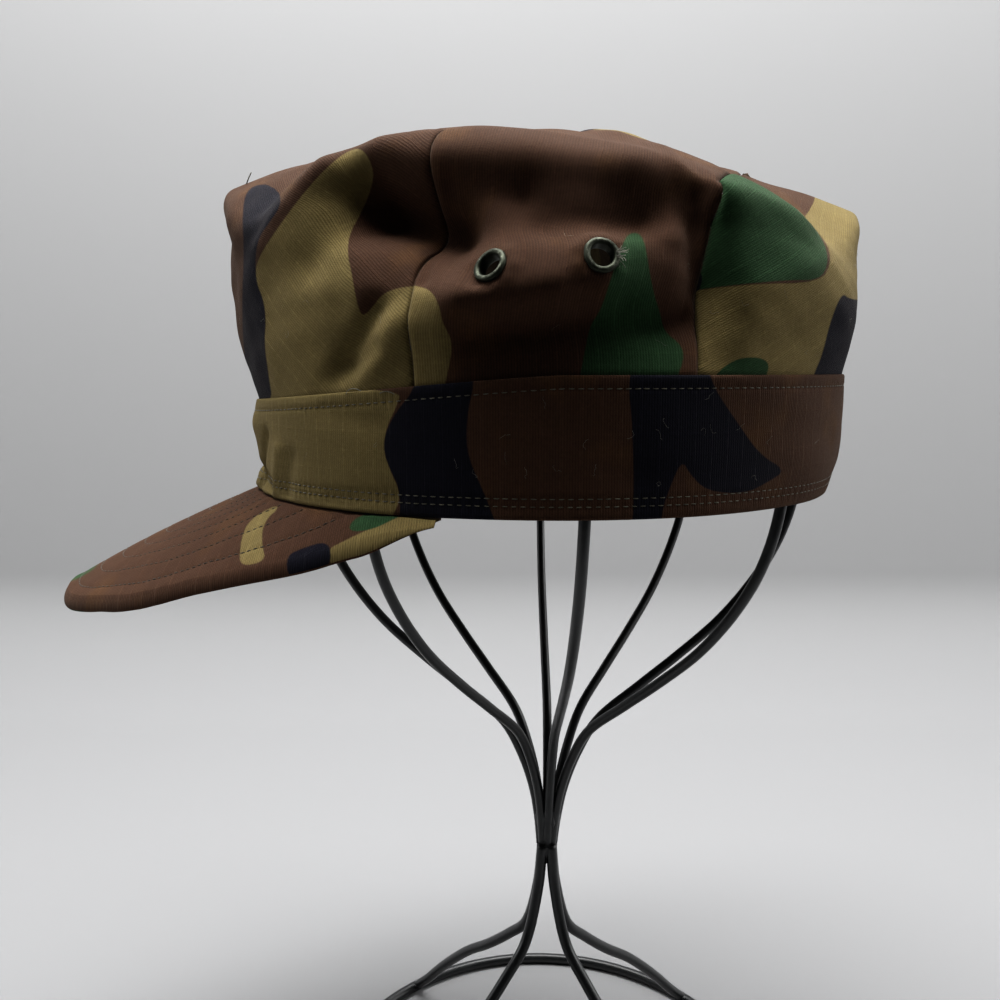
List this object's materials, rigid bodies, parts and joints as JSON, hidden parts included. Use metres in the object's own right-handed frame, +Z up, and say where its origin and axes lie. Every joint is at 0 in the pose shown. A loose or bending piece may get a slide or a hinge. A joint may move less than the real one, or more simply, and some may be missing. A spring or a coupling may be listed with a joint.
{
  "type": "patrol cap on wire hat stand",
  "caption": "Soft cloth patrol cap with a flared crown, short visor and metal vent eyelets, in woodland camouflage ripstop, resting on a plain black wire hat stand",
  "frame": {"origin": "on the floor under the middle of the whole part's bounding box", "axes": "+X points to the back of the cap, -X the way the visor points, -Y to the wearer's left side, +Z up"},
  "size_m": [0.2676, 0.1854, 0.3455],
  "materials": {
    "crown_cloth": "woodland camouflage ripstop cotton, matt, slightly fuzzy",
    "band_cloth": "the same ripstop cotton, doubled and stitched",
    "visor_cloth": "the same ripstop cotton over a board, stitched in rows",
    "eyelet_metal": "blackened grey-green rolled metal, worn bright at the rims",
    "stand_wire": "black coated wire, satin"
  },
  "bodies": {
    "root": {"crown_centre": "crown_cloth", "crown_front_left": "crown_cloth", "crown_front_right": "crown_cloth", "crown_rear_left": "crown_cloth", "crown_rear_right": "crown_cloth", "band": "band_cloth", "visor": "visor_cloth", "eyelet_left_front": "eyelet_metal", "eyelet_left_rear": "eyelet_metal", "eyelet_right_front": "eyelet_metal", "eyelet_right_rear": "eyelet_metal", "top_weld": "stand_wire", "cage_wire_1": "stand_wire", "cage_wire_2": "stand_wire", "cage_wire_3": "stand_wire", "cage_wire_4": "stand_wire", "cage_wire_5": "stand_wire", "cage_wire_6": "stand_wire", "cage_wire_7": "stand_wire", "cage_wire_8": "stand_wire", "waist_weld": "stand_wire", "leg_1": "stand_wire", "leg_2": "stand_wire", "leg_3": "stand_wire", "leg_4": "stand_wire", "base_ring": "stand_wire"}
  },
  "joints": []
}
